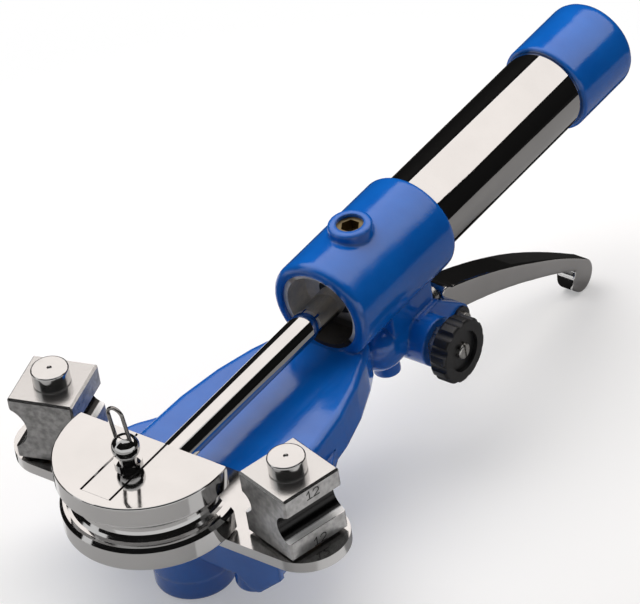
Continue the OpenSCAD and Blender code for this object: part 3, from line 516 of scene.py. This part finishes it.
def block_plate(name, base, dark, light, side):
    """Satin plate on a counter block's level faces, mottled and darkened by painted shade on its rough
    sides, with painted shade in its grooves and a painted highlight along their lower lips.
    """
    look = Look(name)
    spot, normal = look.place.outputs["Object"], look.place.outputs["Normal"]
    across = (math.cos(BLOCK_TURN), -side * math.sin(BLOCK_TURN), 0)
    along = (side * math.sin(BLOCK_TURN), math.cos(BLOCK_TURN), 0)
    from_pin = look.measure(spot, across, side * BLOCK_PIN * across[0], True)
    from_groove = look.measure(spot, UP, GROOVE_HEIGHT, True)
    rise = look.measure(normal, UP)
    inside = look.spread(from_pin, 1, 0, *(BLOCK_HALF - depth for depth in GROOVE_DEPTH))
    near = look.spread(from_groove, 1, 0, *GROOVE_REACH)
    not_an_end = look.spread(look.measure(normal, along, 0, True), 1, 0, 0.4, 0.6)
    groove = look.times(look.times(inside, near), not_an_end)
    level = look.spread(rise, 0, 1, 0.3, 0.6)
    lip = look.times(groove, look.spread(rise, 0, 1, 0.88, 0.93))
    mottle = look.spread(look.noise(330, 4.0), 0, 1, 0.35, 0.65)
    # The sides' mottle is the plate's own tone; how far below the base it sits is painted shade, deeper on
    # the left block.
    colour = look.mixed(mottle, shaded(base, dark), shaded(base, light))
    colour = look.mixed(level, colour, base)
    # Painted shade: the groove goes nearly black.
    colour = look.mixed(groove, colour, shaded(base, 0.05))
    # Painted highlight: the groove's lower lip goes near white and less metal, so that it reads bright.
    look.colours(lip, colour, PAINTED_LIP_HIGHLIGHT)
    look.metal(look.times(look.spread(level, 0.6, 1, 0, 1), look.spread(lip, 1, 0.1, 0, 1)))
    look.rough(look.spread(level, 0.27, 0.24, 0, 1))
    look.bump(look.noise(420, 3.0), GRAIN)
    return look.mat


def tooled(look, rough):
    """The roughness and the fine marks of a machined surface."""
    look.rough(look.spread(look.noise(300), rough * 0.8, rough * 1.25))
    look.bump(look.noise(1500, 2.0), GRAIN)
    return look.mat


def turned(name, base, rough):
    """Machined metal with fine tool marks."""
    look = Look(name).set(Metallic=1.0)
    look.colours(look.spread(look.noise(400), 0, 1), shaded(base, 0.85), base)
    return tooled(look, rough)


def lower_shaded(name, base, dark, rough, node):
    """Plain turned metal, darkened by painted shade over the lower half of a node."""
    low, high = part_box(node)
    middle, half = (low.z + high.z) / 2, (high.z - low.z) / 2
    look = Look(name).set(Metallic=0.25)
    height = look.measure(look.place.outputs["Object"], UP, middle)
    unshaded = look.mixed(look.spread(look.noise(400), 0, 1), shaded(base, 0.85), base)
    # Painted shade: the lower half goes dark.
    look.colours(look.spread(height, 0, 1, -0.7 * half, -0.3 * half), dark, unshaded)
    return tooled(look, rough)


def moulded(name, base, rough):
    """Rubber or plastic with a fine moulded grain."""
    look = Look(name)
    look.colours(look.spread(look.noise(120), 0, 1), shaded(base, 0.8), shaded(base, 1.2))
    look.rough(look.spread(look.noise(500), rough * 0.85, rough * 1.15))
    look.bump(look.noise(2500, 2.0), GRAIN)
    return look.mat


def stamp_shadow():
    """The dull shade inside a sunk stroke."""
    look = Look("stamp_shadow").set(Specular_IOR_Level=0.1)
    look.colours(look.spread(look.noise(120), 0, 1), STAMP_DARK, STAMP_LIGHT)
    look.rough(look.spread(look.noise(500), 0.7, 0.9))
    return look.mat


def dress(material, *names):
    """Gives a material to nodes of the tool."""
    for name in names:
        mesh = nodes[name].data
        mesh.materials.clear()
        mesh.materials.append(material)


def make_materials():
    """Every node's finish."""
    dress(paint(), "body_casting", "end_cap")
    dress(chrome("tube_chrome", SILVER, 0.02, 0.05, 0.01 * MM), "handle_tube", "ram_rod")
    dress(chrome("die_chrome", SILVER, 0.05, 0.10), "former", "ram_head", "former_pin")
    dress(chrome("plate_chrome", SILVER, 0.10, 0.18), "cross_plate")
    # The two blocks are one plate; the left block's darker sides are painted shade.
    dress(block_plate("right_block_plate", SILVER, 0.66, 1.0, 1), "right_block")
    dress(block_plate("left_block_plate", SILVER, 0.40, 0.72, -1), "left_block")
    dress(chrome("pin_chrome", SILVER, 0.10, 0.16), "left_swivel_pin", "right_swivel_pin")
    # The lever takes a lighter copy of the chrome, painted light.
    dress(chrome("lever_chrome", LIT_LEVER_SILVER, 0.07, 0.12), "pump_lever")
    dress(turned("turned_steel", TURNED_STEEL, 0.28), "pressure_cylinder", "piston", "pump_plunger",
          "lever_pivot_pin", "valve_gland_nut", "release_spindle", "intake_plug", "delivery_plug",
          "intake_ball", "delivery_ball", "knob_screw")
    dress(turned("wire_steel", WIRE_STEEL, 0.2), "pull_wire")
    # The gland nut's cup takes painted shade over its lower half.
    dress(lower_shaded("bare_steel", BARE_STEEL, LOWER_PAINTED_SHADE, 0.42, "gland_nut"), "gland_nut")
    dress(turned("dark_steel", DARK_STEEL, 0.35), "plate_screws", "swivel_circlips", "pivot_clips",
          "piston_nut", "spring_seat", "return_spring", "plunger_spring", "intake_spring",
          "delivery_spring")
    dress(turned("bronze", BRONZE, 0.35), "thrust_washers", "rod_bush")
    dress(turned("brass", BRASS, 0.38), "filler_plug")
    dress(turned("copper", COPPER, 0.3), "filler_washer")
    dress(moulded("rubber", RUBBER, 0.6), "tube_seal", "tank_bladder", "wiper_ring", "rod_seal",
          "piston_seal", "plunger_seal", "spindle_seal")
    dress(moulded("black_plastic", BLACK_PLASTIC, 0.36), "release_knob")


# Pieces finished here


def softened_lever():
    """The pump lever with its edges rounded off and its width drawn in towards the tip."""
    piece = add_object("rounded_lever", nodes["pump_lever"].data.copy())
    grid = piece.modifiers.new("grid", "REMESH")
    grid.mode = "VOXEL"
    grid.voxel_size = LEVER_GRID
    soften = piece.modifiers.new("soften", "SMOOTH")
    soften.factor = 0.5
    soften.iterations = LEVER_PASSES
    baked = bpy.data.meshes.new_from_object(piece.evaluated_get(bpy.context.evaluated_depsgraph_get()))
    piece.modifiers.clear()
    piece.data = baked
    baked.name = "rounded_lever"
    low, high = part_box("pump_lever")
    middle = (low.x + high.x) / 2
    for vertex in baked.vertices:
        part = min(max((vertex.co.y - high.y + LEVER_TAPER) / LEVER_TAPER, 0), 1)
        ease = part * part * (3 - 2 * part)
        vertex.co.x = middle + (vertex.co.x - middle) * (1 - LEVER_DRAWN_IN * ease)
    for face in baked.polygons:
        face.use_smooth = True
    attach(piece, "lever")
    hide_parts("pump_lever")


def sprung_coils():
    """The springs, each copied in place of its node; the ends where they sit on the frame and on the piece
    that they press on are found but not used.
    """
    for joint in frame["record"]["behaviour"]["joints"]:
        for spring in joint.get("deforming_nodes", []):
            node, way = spring["node"], spring["mode"][-1]
            axis = "xyz".index(way)
            seat = spring[f"fixed_end_{way}_m"]
            ends = sorted((corner[axis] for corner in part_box(node)), key=lambda end: abs(end - seat))
            start, end = Vector(), Vector()
            start[axis], end[axis] = ends
            piece = add_object(f"{node}_coil", nodes[node].data.copy())
            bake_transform(piece)
            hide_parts(node)


def stamped_number(name, text, middle, right, up, height, body):
    """A number in flat strokes of painted shade, standing for sunk strokes, laid on a face."""
    verts, faces = [], []
    for k, sign in enumerate(text):
        shift = (k - (len(text) - 1) / 2) * DIGIT_STEP * height
        for stroke in DIGITS[sign]:
            points = [Vector((shift + DIGIT_WIDTH * height * x, height * (y - 0.5))) for x, y in stroke]
            for a, b in zip(points, points[1:]):
                along = (b - a).normalized() * STROKE_WIDTH * height / 2
                across = Vector((-along.y, along.x))
                corners = [a - along - across, b + along - across, b + along + across, a - along + across]
                first = len(verts)
                verts += [middle + right * c.x + up * c.y for c in corners]
                faces.append(tuple(range(first, first + 4)))
    mesh = bpy.data.meshes.new(name)
    mesh.from_pydata(verts, [], faces)
    mesh.materials.append(stamp_shadow())
    piece = add_object(name, mesh)
    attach(piece, body)


def stamp_right_block():
    """The tube size above and below the outer groove of the right block."""
    out = Vector((math.cos(BLOCK_TURN), -math.sin(BLOCK_TURN), 0))
    right = Vector((math.sin(BLOCK_TURN), math.cos(BLOCK_TURN), 0))
    face = Vector((BLOCK_PIN, 0, 0)) + out * (BLOCK_HALF + STAMP_PROUD)
    for name, high in STAMPS.items():
        stamped_number(name, STAMP_TEXT, face + UP * high, right, UP, STAMP_HEIGHT, "right_counter_block")


make_camera()
make_world()
make_floor()
make_lights()
make_flags()
make_materials()
softened_lever()
sprung_coils()
stamp_right_block()
bpy.context.scene.view_settings.view_transform = "Standard"
